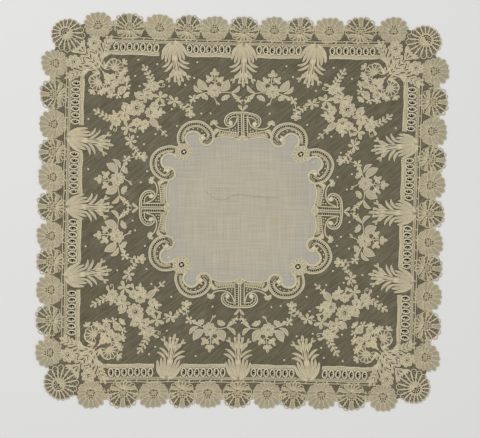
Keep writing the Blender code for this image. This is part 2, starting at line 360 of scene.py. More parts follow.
def turned_quarter(points, side, flip):
    """Points mirrored if asked, and turned to a side: 0 top, 1 left, 2 bottom, 3 right."""
    turned = np.array(points, dtype=float)
    if flip:
        turned[:, 0] *= -1.0
    quarter = ((1, 0), (0, 1), (-1, 0), (0, -1))[side]
    x = turned[:, 0] * quarter[0] - turned[:, 1] * quarter[1]
    y = turned[:, 0] * quarter[1] + turned[:, 1] * quarter[0]
    turned[:, 0], turned[:, 1] = x, y
    return turned


def finished_mesh(cloth, name):
    """The stitches as a mesh, with all faces outwards."""
    bmesh.ops.recalc_face_normals(cloth, faces=cloth.faces[:])
    mesh = bpy.data.meshes.new(name)
    cloth.to_mesh(mesh)
    cloth.free()
    return mesh


def place(name, pattern, holes, side, finish, flip=False):
    """One piece of lace in its place on the cloth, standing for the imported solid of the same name."""
    mesh = pattern.copy()
    mesh.name = name
    points = np.empty(len(mesh.vertices) * 3)
    mesh.vertices.foreach_get("co", points)
    even = turned_quarter(points.reshape(-1, 3), side, flip)
    mesh.vertices.foreach_set("co", (lay(even) * MM).ravel())
    if flip:
        mesh.flip_normals()
    mesh.update()
    stitch_spots.extend(even[::6, :2].tolist())
    net_holes.extend(turned_quarter(hole, side, flip) for hole in holes)
    piece = bpy.data.objects.new(name, mesh)
    mesh.materials.clear()
    mesh.materials.append(materials[finish])
    bpy.context.collection.objects.link(piece)
    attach(piece, "root")
    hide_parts(name)
    piece.name = name + "_lace"
    lace_pieces.append(piece)


def place_all(name, cloth, holes, finish="flower lace", both_halves=False):
    """The motif on all four sides. One that stands on half a side is mirrored to the other half."""
    pattern = finished_mesh(cloth, name)
    for side in range(SIDES):
        if both_halves:
            place(f"{name}_{side + 1}a", pattern, holes, side, finish)
            place(f"{name}_{side + 1}b", pattern, holes, side, finish, flip=True)
        else:
            place(f"{name}_{side + 1}", pattern, holes, side, finish)
    print(name, "has", len(pattern.polygons), "faces; pieces so far:", len(lace_pieces))


# %% [markdown]
# ## Finishes
# Cotton thread is matt. Its colour has gone cream with age, and it is darker and yellower in places. The
# finishes share two node groups: one for age, which is soft noise at two sizes, and one for the tiny
# over and under of woven thread, which is two crossed waves. Both read object coordinates in metres.

# %% Helpers for nodes
def set_inputs(tree, node, values):
    """Set inputs by name or number: a socket is linked, anything else is the input's value."""
    for key, value in dict(values).items():
        if isinstance(value, bpy.types.NodeSocket):
            tree.links.new(value, node.inputs[key])
        else:
            node.inputs[key].default_value = value


def add_node(tree, kind, values=(), **settings):
    """Add a node with its settings and inputs."""
    node = tree.nodes.new("ShaderNode" + kind)
    for name, setting in settings.items():
        setattr(node, name, setting)
    set_inputs(tree, node, values)
    return node


def math_node(tree, operation, first, second=0.0, clamp=False):
    """One step of arithmetic on numbers."""
    return add_node(tree, "Math", {0: first, 1: second}, operation=operation, use_clamp=clamp).outputs[0]


def mix_colour(tree, share, first, second, blend="MIX"):
    """Two colours mixed by a share."""
    values = {"Factor": share, 6: first, 7: second}
    return add_node(tree, "Mix", values, data_type="RGBA", blend_type=blend).outputs[2]


def new_group(name, inputs, outputs):
    """An empty node group with named number sockets and a Vector input."""
    tree = bpy.data.node_groups.new(name, "ShaderNodeTree")
    tree.interface.new_socket("Vector", in_out="INPUT", socket_type="NodeSocketVector")
    for socket in inputs:
        tree.interface.new_socket(socket, in_out="INPUT", socket_type="NodeSocketFloat")
    for socket in outputs:
        tree.interface.new_socket(socket, in_out="OUTPUT", socket_type="NodeSocketFloat")
    return tree, tree.nodes.new("NodeGroupInput").outputs, tree.nodes.new("NodeGroupOutput").inputs


def use_group(tree, group, values):
    """Place a node group in a material."""
    node = tree.nodes.new("ShaderNodeGroup")
    node.node_tree = group
    set_inputs(tree, node, values)
    return node.outputs


# %% Group: age of the cloth
AGE, given, result = new_group("age of cloth", ("Patch size",), ("Mottle", "Yellowing"))
patches = math_node(AGE, "DIVIDE", 1.0, given["Patch size"])
broad = add_node(AGE, "TexNoise", {"Vector": given["Vector"], "Scale": patches, "Detail": 4.0})
finer = math_node(AGE, "MULTIPLY", patches, 9.0)
small = add_node(AGE, "TexNoise", {"Vector": given["Vector"], "Scale": finer, "Detail": 2.0})
mottle = math_node(AGE, "ADD", math_node(AGE, "MULTIPLY", broad.outputs["Fac"], 0.55),
                   math_node(AGE, "MULTIPLY", small.outputs["Fac"], 0.45))
AGE.links.new(mottle, result["Mottle"])
deep = math_node(AGE, "SUBTRACT", broad.outputs["Fac"], 0.56)
AGE.links.new(math_node(AGE, "MULTIPLY", deep, 6.0, clamp=True), result["Yellowing"])
print("age group has", len(AGE.nodes), "nodes")

# %% Group: woven thread
WEAVE, given, result = new_group("woven thread", ("Pitch",), ("Height",))
turns = math_node(WEAVE, "DIVIDE", math.tau, given["Pitch"])
parts = add_node(WEAVE, "SeparateXYZ", {0: given["Vector"]}).outputs
warp = math_node(WEAVE, "COSINE", math_node(WEAVE, "MULTIPLY", parts["X"], turns))
weft = math_node(WEAVE, "COSINE", math_node(WEAVE, "MULTIPLY", parts["Y"], turns))
crossing = math_node(WEAVE, "MULTIPLY", warp, weft)
height = math_node(WEAVE, "ADD", math_node(WEAVE, "MULTIPLY", crossing, 0.3), 0.5)
ridge = math_node(WEAVE, "MULTIPLY", math_node(WEAVE, "ADD", warp, weft), 0.1)
WEAVE.links.new(math_node(WEAVE, "ADD", height, ridge), result["Height"])

# %% [markdown]
# ### Lace thread
# Cords catch the light and stay pale. The cloth stitch between them is thinner, so it looks greyer. Each
# kind of lace has its own pair of colours: the shells of the edging are thinner than the flowers.

# %% Lace finish
OCHRE = (0.52, 0.36, 0.14, 1.0)


def lace_finish(name, cord_colour, fill_colour):
    """Matt cotton lace in two tones."""
    made = bpy.data.materials.new(name)
    made.use_nodes = True
    tree = made.node_tree
    shader = tree.nodes["Principled BSDF"]
    spot = add_node(tree, "TexCoord").outputs["Object"]
    fill = add_node(tree, "Attribute", attribute_name="fill").outputs["Fac"]
    age = use_group(tree, AGE, {"Vector": spot, "Patch size": 0.05})
    weave = use_group(tree, WEAVE, {"Vector": spot, "Pitch": 0.00038})
    tone = mix_colour(tree, fill, cord_colour, fill_colour)
    shade = math_node(tree, "ADD", math_node(tree, "MULTIPLY", age["Mottle"], 0.5), 0.75)
    # The weave's height also scales the colour, darker in the dips between threads: this is painted shade.
    woven = math_node(tree, "ADD", math_node(tree, "MULTIPLY", weave["Height"], 0.16), 0.92)
    depth = math_node(tree, "MULTIPLY", shade, woven)
    shaded = mix_colour(tree, 1.0, tone, depth, "MULTIPLY")
    yellow = math_node(tree, "MULTIPLY", age["Yellowing"], 0.16)
    colour = mix_colour(tree, yellow, shaded, OCHRE)
    tree.links.new(colour, shader.inputs["Base Color"])
    rough = math_node(tree, "ADD", math_node(tree, "MULTIPLY", age["Mottle"], 0.12), 0.78)
    tree.links.new(rough, shader.inputs["Roughness"])
    bump = add_node(tree, "Bump", {"Height": weave["Height"], "Strength": 0.35, "Distance": 0.0001})
    tree.links.new(bump.outputs[0], shader.inputs["Normal"])
    shader.inputs["Sheen Weight"].default_value = 0.12
    shader.inputs["Sheen Roughness"].default_value = 0.6
    shader.inputs["Specular IOR Level"].default_value = 0.25
    return made


materials["flower lace"] = lace_finish("flower lace", (0.68, 0.60, 0.405, 1.0), (0.45, 0.39, 0.265, 1.0))
materials["edging lace"] = lace_finish("edging lace", (0.62, 0.54, 0.35, 1.0), (0.37, 0.325, 0.22, 1.0))
print("lace finishes:", sorted(materials))

# %% [markdown]
# ## Shells of the edging
# The edge is a row of shells, each a fan of petals round a heart. Every second shell is worked open: its
# petals are only an outline with a zigzag thread inside, and the net shows through. Over each heart runs a
# short bow of tiny eyelets. Small scallops link the shells, and a braid runs under them.

# %% One shell
SHELL_OUT = 173.8
SHELL_HEIGHT = 12.6
HEART_OUT = 170.2
SHELLS = ((0.0, 13.2), (27.3, 12.9), (51.0, 12.3), (77.4, 13.4), (105.3, 13.8), (134.8, 12.8))
UPPER_PETALS = 11
LOWER_PETALS = 6


def reach_to_rim(heart, centre, half_width, half_height, angle):
    """How far it is from a heart to the rim of an oval, at an angle."""
    ahead = Vector((math.cos(math.radians(angle)) / half_width, math.sin(math.radians(angle)) / half_height))
    offset = Vector(((heart[0] - centre[0]) / half_width, (heart[1] - centre[1]) / half_height))
    half_b = ahead.dot(offset)
    square = half_b * half_b - ahead.length_squared * (offset.length_squared - 1.0)
    return (math.sqrt(square) - half_b) / ahead.length_squared


def open_petal(cloth, foot, tip, width):
    """The outline of a petal with a zigzag thread in it."""
    foot, tip = Vector(foot), Vector(tip)
    length = (tip - foot).length
    side = Vector((tip.y - foot.y, foot.x - tip.x)) / length
    outline = []
    for step in range(12):
        turned = math.tau * step / 12
        share = 0.5 + 0.5 * math.cos(turned)
        across = 0.5 * math.sin(turned) * width * (WAIST + (1.0 - WAIST) * share) / SWELL_PEAK
        outline.append((foot.lerp(tip, share) + side * across)[:])
    cord(cloth, outline, 0.85, closed=True, smooth=False)
    zigzag = []
    for step in range(5):
        share = 0.3 + 0.14 * step
        across = (0.5 - step % 2) * width * 0.55
        zigzag.append((foot.lerp(tip, share) + side * across)[:])
    cord(cloth, zigzag, 0.45, smooth=False)


def shell(cloth, holes, along, half_width, is_open):
    """A fan of petals round a heart, with a bow of eyelets."""
    heart = (along, HEART_OUT)
    angles = [-14.0 + 208.0 * step / (UPPER_PETALS - 1) for step in range(UPPER_PETALS)]
    angles += [194.0 + 152.0 * (step + 0.5) / LOWER_PETALS for step in range(LOWER_PETALS)]
    for count, angle in enumerate(angles):
        reach = reach_to_rim(heart, (along, SHELL_OUT), half_width, SHELL_HEIGHT, angle)
        reach *= 1.0 + 0.09 * math.sin(math.radians(2.0 * (angle - 5.0))) ** 2
        upper = count < UPPER_PETALS
        start = 2.6 + 3.6 * max(0.0, math.sin(math.radians(angle))) if upper else 1.0
        spacing = math.radians(208.0 / (UPPER_PETALS - 1) if upper else 152.0 / LOWER_PETALS)
        width = 0.88 * reach * spacing
        make = open_petal if is_open and count % 5 else petal
        make(cloth, around(heart, angle, start), around(heart, angle, reach), width)
    row = [(along - 4.8 + 1.6 * step, HEART_OUT + 4.6 - 0.06 * (3 - step) ** 2) for step in range(7)]
    ladder(cloth, holes, row, 1.1, 0.75)
    for lift in (-1.0, 1.0):
        cord(cloth, [(x, y + lift) for x, y in row], 0.7)
    fan(cloth, heart, 90.0, 130.0, 7, 3.8, 1.3, start=0.6, corners=8)


# %% One side of the edging
LINK_OUT = 171.8


def edging():
    """Eleven shells with their links and braid, for the top side."""
    cloth, holes = new_cloth(), []
    ends = []
    for count, (along, half_width) in enumerate(SHELLS):
        for sign in ((1.0,) if along == 0.0 else (1.0, -1.0)):
            shell(cloth, holes, sign * along, half_width, count % 2 == 0)
            ends.append((sign * along, half_width))
    ends.sort()
    for (left, left_width), (right, right_width) in zip(ends, ends[1:]):
        middle = (left + left_width + right - right_width) / 2.0
        fan(cloth, (middle, LINK_OUT), 90.0, 100.0, 3, 6.4, 3.0, start=0.8)
        fan(cloth, (middle, LINK_OUT), 270.0, 70.0, 2, 4.6, 1.6, start=0.5, corners=8)
    line = [(16.0 * step - 128.0, 162.4) for step in range(17)]
    cord(cloth, line, 0.9)
    for step in range(26):
        along = -122.0 + 9.76 * step
        cord(cloth, [(along, 160.2), (along + 1.2, 162.4)], 1.1, smooth=False)
    return cloth, holes


cloth, holes = edging()
place_all("edging", cloth, holes, "edging lace")

# %% [markdown]
# ## Band of eyelets
# Inside the shells runs a straight band: oval eyelets in a row, with two cords of braid outside them and a
# wide braid with beaded loops inside. The black of the eyelets is a real hole, in the net as well.

# %% Strips of the band
BAND_IN = 145.8
EYELET_OUT = 153.5
EYELETS = 7
STRIPS = {"inner": (0.3, 66.0, 11.9, 51.9, 14.3, 5.92), "outer": (66.0, 125.0, 77.2, 121.2, 80.2, 6.1)}


def strip(cloth, holes, start, end, low, high, first, step_length):
    """One strip of the band on the right half of the top side."""
    for out, width in ((160.0, 0.9), (158.8, 0.7), (158.0, 0.5)):
        cord(cloth, [(start, out), ((start + end) / 2.0, out), (end, out)], width)
    for step in range(EYELETS):
        spot = (first + step * step_length, EYELET_OUT)
        ring(cloth, spot, 4.2, 7.4, 1.5, 12)
        knot(cloth, spot[0] + 0.5, spot[1] - 1.1, 0.65)
        cord(cloth, [(spot[0] - 0.4, spot[1] + 2.6), (spot[0] + 0.9, spot[1] + 0.4)], 0.5, smooth=False)
        holes.append([around(spot, 30.0 * turn, 1.8, 3.4) for turn in range(12)])
        for out in (149.4, 157.6):
            knot(cloth, spot[0] + step_length / 2.0, out, 0.75)
    for out, width in ((149.4, 0.8), (148.3, 0.9), (147.4, 0.8), (146.4, 0.7)):
        turn_in = [(high + 4.0, out - 0.8), (high + 9.0, out - 5.6)] if high > 100.0 else []
        cord(cloth, [(low, out), ((low + high) / 2.0, out), (high, out)] + turn_in, width)
    for step in range(int((high - low) / 1.55)):
        knot(cloth, low + 0.8 + 1.55 * step, BAND_IN + 0.5, 0.85)


for name, (start, end, low, high, first, step_length) in STRIPS.items():
    cloth, holes = new_cloth(), []
    strip(cloth, holes, start, end, low, high, first, step_length)
    place_all("band_" + name, cloth, holes, both_halves=True)

# %% [markdown]
# ## Palmettes
# Three palmettes hang from the band on each side. Long leaves fan out from the foot, thinner ones curl away
# under them, and a trunk of ribs ends in buds and a trefoil. The outer two lean towards the middle one.

# %% Palmettes of one side
PALMETTE_OUT = 160.6
PALMETTES = {"left": (-66.0, 10.0), "middle": (0.0, 0.0), "right": (66.0, -10.0)}
# Foot, tip, width and bend of the leaves on one half of a palmette that hangs from (0, 0).
FAN_LEAVES = (
    ((0.8, -0.6), (8.4, -8.4), 2.2, -0.14), ((0.8, -1.0), (10.8, -12.4), 2.8, -0.13),
    ((0.7, -1.4), (11.6, -17.2), 3.2, -0.12), ((0.6, -2.0), (8.6, -20.2), 3.0, -0.08),
    ((0.4, -2.6), (5.4, -21.2), 2.7, -0.04), ((0.2, -3.4), (2.1, -20.4), 2.2, 0.0),
    ((3.8, -17.6), (13.4, -23.8), 2.3, 0.18), ((2.8, -20.6), (12.4, -28.6), 2.1, 0.16),
    ((2.4, -21.6), (8.0, -27.2), 1.6, 0.1), ((2.4, -26.6), (7.9, -35.2), 4.2, 0.08),
    ((1.4, -29.0), (4.1, -40.6), 2.4, 0.0),
)


def palmette():
    """A palmette that hangs from (0, 0)."""
    cloth, holes = new_cloth(), []
    petal(cloth, (0.0, -35.0), (0.0, -43.8), 3.0, point=0.3)
    petal(cloth, (0.0, -2.0), (0.0, -19.0), 1.8)
    cord(cloth, [(0.0, -16.0), (0.0, -36.0)], 1.0, smooth=False)
    first_face, first_hole = len(cloth.faces), len(holes)
    for foot, tip, width, bend in FAN_LEAVES:
        petal(cloth, foot, tip, width, bend, 0.2)
    eyelet(cloth, holes, (6.6, -32.6), 0.8, 0.6, seed=False)
    buds = ((7.4, -35.0), (11.8, -37.0)), ((7.4, -35.0), (9.4, -39.8)), ((1.5, -39.5), (4.8, -38.4))
    for foot, tip in buds:
        petal(cloth, foot, tip, 2.0, corners=10)
    cord(cloth, [(0.6, -15.0), (1.3, -26.0), (0.8, -37.0)], 0.9)
    cord(cloth, [(1.4, -15.0), (2.6, -25.0), (3.2, -33.0)], 0.8)
    add_mirrored(cloth, holes, first_face, first_hole, MIRROR_ALONG)
    return cloth, holes


for name, (along, lean) in PALMETTES.items():
    cloth, holes = palmette()
    hang = Matrix.Translation((along, PALMETTE_OUT, 0.06)) @ Matrix.Rotation(math.radians(lean), 4, "Z")
    bmesh.ops.transform(cloth, matrix=hang, verts=cloth.verts[:])
    holes = [[(hang @ Vector((x, y, 0.0)))[:2] for x, y in hole] for hole in holes]
    place_all("palmette_" + name, cloth, holes)

# %% [markdown]
# ## Sprigs
# Between the palmettes a sprig of one large flower stands on the net: three lobed leaves above it, a broad
# leaf on each side, two buds below, and thin garlands of sickle leaves that reach to the cartouche.

# %% Sprig on the right half of a side
def sprig():
    """A flower with its leaves and garlands."""
    cloth, holes = new_cloth(), []
    for path in (
        [(27.0, 115.0), (24.9, 122.4), (26.2, 128.5)], [(25.4, 120.5), (28.6, 122.8), (31.0, 123.4)],
        [(25.0, 120.5), (22.6, 122.4), (21.0, 123.0)], [(22.0, 112.4), (16.0, 112.6), (11.6, 111.7)],
        [(11.6, 111.7), (7.0, 110.0), (4.2, 106.2), (1.2, 100.5)],
        [(31.0, 112.0), (37.0, 110.2), (43.0, 107.6)],
        [(45.4, 105.2), (48.4, 101.0), (48.7, 90.4)], [(27.2, 108.0), (24.4, 104.6), (24.0, 100.2)],
    ):
        cord(cloth, path, 0.9)
    lobed_leaf(cloth, (26.3, 128.4), 89.0, 6.6, 3.6)
    lobed_leaf(cloth, (29.8, 122.8), 52.0, 6.6, 3.4)
    lobed_leaf(cloth, (22.0, 122.4), 128.0, 6.6, 3.4)
    leaf(cloth, (34.0, 113.6), (41.4, 124.4), 8.0, 0.08)
    leaf(cloth, (20.0, 113.6), (13.4, 124.7), 8.4, -0.08)
    fan(cloth, (33.6, 110.2), -58.0, 70.0, 3, 6.2, 3.2, start=1.0)
    fan(cloth, (18.0, 110.2), -120.0, 70.0, 3, 6.2, 3.2, start=1.0)
    petal(cloth, (11.2, 112.0), (3.4, 118.8), 4.4, -0.18, 0.6, corners=14)
    petal(cloth, (10.8, 110.8), (6.4, 105.4), 2.6, 0.1)
    petal(cloth, (37.0, 111.4), (45.6, 118.6), 4.6, 0.18, 0.6, corners=14)
    petal(cloth, (38.0, 109.6), (41.6, 104.6), 2.6, -0.1)
    sickles = ((4.6, 105.8), 250.0, 3.6), ((9.2, 107.6), 200.0, 3.4), ((2.6, 102.6), 130.0, 3.0)
    for foot, heading, length in sickles:
        petal(cloth, foot, around(foot, heading, length), 2.2, corners=10)
    star(cloth, (45.2, 105.4), 4.4, 5, 30.0)
    star(cloth, (4.8, 106.0), 3.0, 5, 10.0)
    for spot, heading in (((48.5, 98.4), 20.0), ((48.6, 96.0), 165.0), ((48.7, 93.4), 20.0)):
        petal(cloth, spot, around(spot, heading, 3.4), 2.4, corners=10)
    petal(cloth, (24.0, 103.0), (21.2, 99.8), 1.8, corners=10)
    trefoil(cloth, (48.4, 91.4), 268.0, 5.4, 3.2)
    flower(cloth, holes, (27.0, 113.5), 6.8, 8, 0.8, 12.0)
    return cloth, holes


cloth, holes = sprig()
place_all("sprig", cloth, holes, both_halves=True)

# %% [markdown]
# ## Bouquets
# Each corner of the net holds a full bouquet, almost the same on both sides of the diagonal: ringed flowers
# in the middle, stars and roses round them, and leafy sprays that reach out over the net.

# %% Bouquet in the top right corner
def bouquet():
    """Flowers, leaves and sprays on the diagonal."""
    cloth, holes = new_cloth(), []
    leaf(cloth, (84.6, 84.6), (76.2, 76.2), 6.6)
    spray(cloth, [(80.0, 80.0), (75.6, 75.6), (71.4, 71.4)], 2, 3.8, 2.1)
    first_face, first_hole = len(cloth.faces), len(holes)
    spray(cloth, [(82.6, 119.0), (85.6, 125.4), (90.4, 133.0)], 4, 4.6, 2.3)
    lobed_leaf(cloth, (85.8, 116.2), 22.0, 6.8, 3.0)
    star(cloth, (90.2, 107.4), 7.0, 6, 25.0)
    leaf(cloth, (84.4, 103.0), (83.4, 111.4), 4.4, 0.06)
    leaf(cloth, (93.6, 103.6), (99.6, 110.6), 4.6, 0.04)
    petal(cloth, (78.6, 118.4), (72.8, 121.0), 2.8, 0.12)
    cord(cloth, [(78.4, 115.6), (73.6, 115.0), (71.4, 117.0), (72.8, 118.8), (74.6, 117.6),
        (73.4, 116.8)], 0.8)
    star(cloth, (75.8, 105.3), 7.0, 5, 20.0)
    flower(cloth, holes, (81.2, 96.6), 4.6, 6)
    flower(cloth, holes, (79.6, 88.8), 4.2, 6)
    lobed_leaf(cloth, (76.8, 91.6), 184.0, 6.4, 2.8)
    petal(cloth, (76.6, 96.6), (71.0, 98.8), 2.6, 0.1, corners=10)
    star(cloth, (62.8, 102.2), 6.2, 5, 50.0)
    cord(cloth, [(70.4, 104.0), (66.0, 103.0)], 0.9, smooth=False)
    spray(cloth, [(59.4, 99.6), (55.2, 97.8), (51.6, 94.8), (47.8, 92.0)], 4, 3.4, 2.0)
    flower(cloth, holes, (81.5, 116.0), 5.2, 8, 0.6)
    add_mirrored(cloth, holes, first_face, first_hole, MIRROR_DIAGONAL)
    flower(cloth, holes, (90.8, 84.0), 5.8, 8, 1.3)
    flower(cloth, holes, (95.4, 97.4), 8.0, 9, 1.7)
    return cloth, holes


cloth, holes = bouquet()
place_all("bouquet", cloth, holes)

# %% [markdown]
# ## Corner motifs
# The corner itself is one large open rosette with a heart of eyelets. Inside it stand two round flowers and
# fern fronds, and then a dense group of small flowers and half rosettes between the ends of the band.

# %% Corner motif in the top right corner
ROSETTE = (162.0, 162.0)
ROSETTE_HEART = (164.2, 164.2)
ROSETTE_RADIUS = 16.0


def frond(cloth, points, leaves, length, width):
    """A fern frond of long leaflets."""
    spray(cloth, points, leaves, length, width, 34.0)


def corner():
    """Rosette, flowers, fronds and the dense group inside them."""
    cloth, holes = new_cloth(), []
    for step in range(18):
        angle = 45.0 + 20.0 * step
        reach = reach_to_rim(ROSETTE_HEART, ROSETTE, ROSETTE_RADIUS, ROSETTE_RADIUS, angle)
        foot, tip = around(ROSETTE_HEART, angle, 5.6), around(ROSETTE_HEART, angle, reach)
        open_petal(cloth, foot, tip, 0.9 * math.radians(20.0) * reach)
    ring(cloth, ROSETTE_HEART, 10.4, 10.4, 1.0, 16)
    for step in range(6):
        angle = -32.0 + 31.0 * step
        line = [around(ROSETTE_HEART, angle, 1.0), around(ROSETTE_HEART, angle, 4.8)]
        cord(cloth, line, 0.45, smooth=False)
        knot(cloth, *around(ROSETTE_HEART, angle + 8.0, 3.3), 0.55)
    holes.append([around(ROSETTE_HEART, -42.0 + 17.4 * step, 4.6) for step in range(11)])
    fan(cloth, ROSETTE_HEART, 225.0, 140.0, 6, 5.4, 2.0, start=0.8, corners=10)
    frond(cloth, [(130.0, 130.0), (138.0, 138.0), (147.0, 147.0)], 5, 8.6, 2.4)
    first_face, first_hole = len(cloth.faces), len(holes)
    flower(cloth, holes, (156.0, 137.4), 7.0, 8, 1.3, 10.0)
    frond(cloth, [(139.0, 131.0), (149.0, 128.4), (157.6, 124.4)], 5, 7.6, 2.2)
    frond(cloth, [(133.6, 130.4), (141.0, 133.0), (148.6, 138.0)], 4, 7.8, 2.2)
    fan(cloth, (146.0, 153.6), 30.0, 90.0, 4, 5.6, 2.0)
    fan(cloth, (131.0, 127.0), 10.0, 60.0, 3, 8.0, 2.0)
    for step in range(9):
        angle = -150.0 + 30.0 * step
        foot, tip = around((133.0, 118.4), angle, 3.2), around((133.0, 118.4), angle, 8.6)
        open_petal(cloth, foot, tip, 3.7)
    flower(cloth, holes, (133.0, 118.4), 3.2, 6)
    flower(cloth, holes, (121.3, 111.4), 4.2, 7, 0.8)
    flower(cloth, holes, (124.2, 119.8), 3.2, 5)
    star(cloth, (114.4, 106.4), 3.8, 5, 10.0)
    for foot, heading in (
        ((122.0, 107.8), 262.0), ((108.6, 108.2), 225.0), ((130.4, 110.4), 262.0), ((137.8, 110.8), 300.0),
        ((127.6, 113.6), 250.0),
    ):
        fan(cloth, foot, heading, 100.0, 3, 4.6, 2.4, start=0.2)
    cord(cloth, [(134.0, 127.4), (139.6, 124.6), (142.4, 119.4), (140.2, 115.6), (138.2, 117.4)], 1.1)
    cord(cloth, [(129.4, 129.4), (125.0, 123.0), (121.3, 115.0)], 1.0)
    cord(cloth, [(126.0, 118.0), (129.0, 113.0), (130.4, 110.0)], 0.8)
    add_mirrored(cloth, holes, first_face, first_hole, MIRROR_DIAGONAL)
    flower(cloth, holes, (124.6, 124.6), 3.4, 6)
    flower(cloth, holes, (117.6, 117.6), 3.8, 6)
    flower(cloth, holes, (111.4, 111.4), 3.8, 6, 0.6)
    return cloth, holes


cloth, holes = corner()
place_all("corner", cloth, holes)

# %% [markdown]
# ## Corner scrolls of the cartouche
# The linen sits in a cartouche of braid. In each corner two C-scrolls meet at a flower. A scroll is a wide
# braid with a ladder of holes in it. It runs over a crescent of net and rolls up in a curl.

# %% Scrolls in the top right corner
SCROLL = (42.4, 66.8)
CURL = (32.6, 67.0)
BAY = (44.6, 66.4)


def scroll(cloth, holes):
    """The scroll on the top side of the corner."""
    outer = arc(SCROLL, 17.0, -24.0, 176.0, 14) + arc(CURL, 6.6, 190.0, 360.0, 8)
    cord(cloth, outer + [(38.0, 70.4), (35.0, 70.8)], 1.4)
    inside = arc(SCROLL, 15.7, -22.0, 176.0, 14) + arc(CURL, 5.5, 195.0, 350.0, 7)
    cord(cloth, inside + [(36.8, 69.2), (34.8, 68.8)], 1.0)
    cord(cloth, arc(SCROLL, 12.7, -18.0, 150.0, 12) + [(30.2, 70.4), (30.6, 67.6), (33.0, 65.6)], 0.9)
    cord(cloth, arc(SCROLL, 11.5, -16.0, 150.0, 12) + [(31.2, 71.2), (31.8, 68.4), (34.6, 66.6)], 1.1)
    ladder(cloth, holes, arc(SCROLL, 14.2, -12.0, 96.0, 14), 0.9)
    ladder(cloth, holes, arc(SCROLL, 14.2, 102.0, 168.0, 9), 1.4)
    ladder(cloth, holes, arc((32.8, 67.2), 4.0, 196.0, 290.0, 6), 1.6)
    knot(cloth, 35.6, 67.6, 2.4)
    petal(cloth, (36.0, 63.6), (36.6, 70.4), 4.6, 0.1)
    bay = arc(BAY, 6.9, -66.0, 158.0, 12) + [(38.4, 69.6)]
    cord(cloth, bay, 1.8)
    cord(cloth, arc(BAY, 8.0, -50.0, 150.0, 10), 0.7)
    for angle in (5.0, 30.0, 55.0, 80.0, 105.0, 130.0, 152.0):
        knot(cloth, *around((43.4, 66.6), angle, 9.9), 0.75)


def corner_scrolls():
    """Two scrolls and the flower between them."""
    cloth, holes = new_cloth(), []
    scroll(cloth, holes)
    add_mirrored(cloth, holes, 0, 0, MIRROR_DIAGONAL)
    for step in range(12):
        angle = 15.0 + 30.0 * step
        petal(cloth, around((53.5, 53.5), angle, 3.2), around((53.5, 53.5), angle, 8.5), 3.9)
    ring(cloth, (53.5, 53.5), 6.4, 6.4, 1.2, 14)
    knot(cloth, 53.6, 53.4, 1.3)
    for angle in (30.0, 120.0, 210.0, 300.0):
        cord(cloth, [(53.5, 53.5), around((53.5, 53.5), angle, 3.0)], 0.4, smooth=False)
    return cloth, holes


cloth, holes = corner_scrolls()
place_all("corner_scroll", cloth, holes)

# %% [markdown]
# ## Side brackets of the cartouche
# In the middle of each side two volutes lean on a stem with columns of holes. Swoops of braid join them to
# the corner scrolls over two small windows of net, and a fan of ribs closes the bracket on the linen.

# %% Bracket of the top side
def bracket():
    """Two volutes on a stem."""
    cloth, holes = new_cloth(), []
    petal(cloth, (0.0, 71.0), (0.0, 64.2), 5.2)
    eyelet(cloth, holes, (0.0, 71.8), 0.9, 0.8)
    first_face, first_hole = len(cloth.faces), len(holes)
    petal(cloth, (0.2, 94.0), (4.4, 99.8), 2.6, -0.08)
    volute = [(0.0, 93.0), (5.4, 93.0), (11.6, 91.6), (16.0, 88.2), (17.0, 83.6), (15.0, 79.6), (11.6, 79.0)]
    cord(cloth, volute + [(9.2, 81.4), (10.2, 84.0), (12.2, 84.0)], 1.4)
    cord(cloth, [(1.0, 91.4), (6.0, 91.6), (11.0, 90.0), (14.6, 87.0), (15.2, 83.6), (13.8, 81.2)], 0.9)
    cord(cloth, [(4.2, 88.4), (8.4, 88.6), (11.4, 87.0), (12.6, 84.6)], 1.0)
    ladder(cloth, holes, [(5.6, 89.9), (8.0, 89.9), (10.4, 88.9), (12.4, 87.2), (13.6, 85.2)], 1.1)
    knot(cloth, 11.4, 82.2, 2.2)
    swoop = [(26.4, 82.2), (24.0, 79.0), (19.6, 77.0), (14.0, 76.8), (9.4, 78.6), (6.2, 82.0), (5.0, 87.0)]
    cord(cloth, swoop, 1.3)
    cord(cloth, [(24.6, 76.6), (20.0, 74.9), (12.0, 73.6), (5.0, 73.2)], 1.1)
    cord(cloth, [(0.9, 92.0), (0.9, 72.0)], 1.2, smooth=False)
    cord(cloth, [(4.2, 90.0), (4.2, 73.0)], 1.1, smooth=False)
    ladder(cloth, holes, [(2.6, 88.0 - 1.9 * step) for step in range(8)], 1.4)
    for spot in ((7.0, 77.6), (9.4, 75.6), (12.2, 75.4), (7.0, 75.2)):
        knot(cloth, *spot, 0.75)
    for step in range(9):
        foot = (4.0 + 2.0 * step, 73.4 + 0.12 * step)
        tip = (5.4 + 2.15 * step, 68.6 + 0.25 * math.cos(2.2 * step))
        petal(cloth, foot, tip, 2.0, corners=8)
    cord(cloth, [(1.6, 66.4), (6.0, 68.0), (14.0, 68.8), (22.0, 68.4), (26.0, 66.4)], 1.3)
    fan(cloth, (23.6, 73.6), 50.0, 200.0, 5, 3.4, 2.2, corners=10)
    fan(cloth, (26.4, 81.8), 80.0, 190.0, 5, 3.8, 2.4, corners=10)
    eyelet(cloth, holes, (24.2, 73.6), 0.7, 0.6, seed=False)
    petal(cloth, (1.0, 71.0), (4.6, 65.6), 3.6)
    add_mirrored(cloth, holes, first_face, first_hole, MIRROR_ALONG)
    return cloth, holes


cloth, holes = bracket()
place_all("bracket", cloth, holes)

# %% [markdown]
# ## Net
# The ground is fine machine net, scalloped outside under the shells and open in the middle for the linen.
# Its outline and all its holes are drawn as one flat curve, which Blender fills. Straight cuts then give
# the sheet enough corners to follow the ripples. The mesh of the net itself is left to the finish.

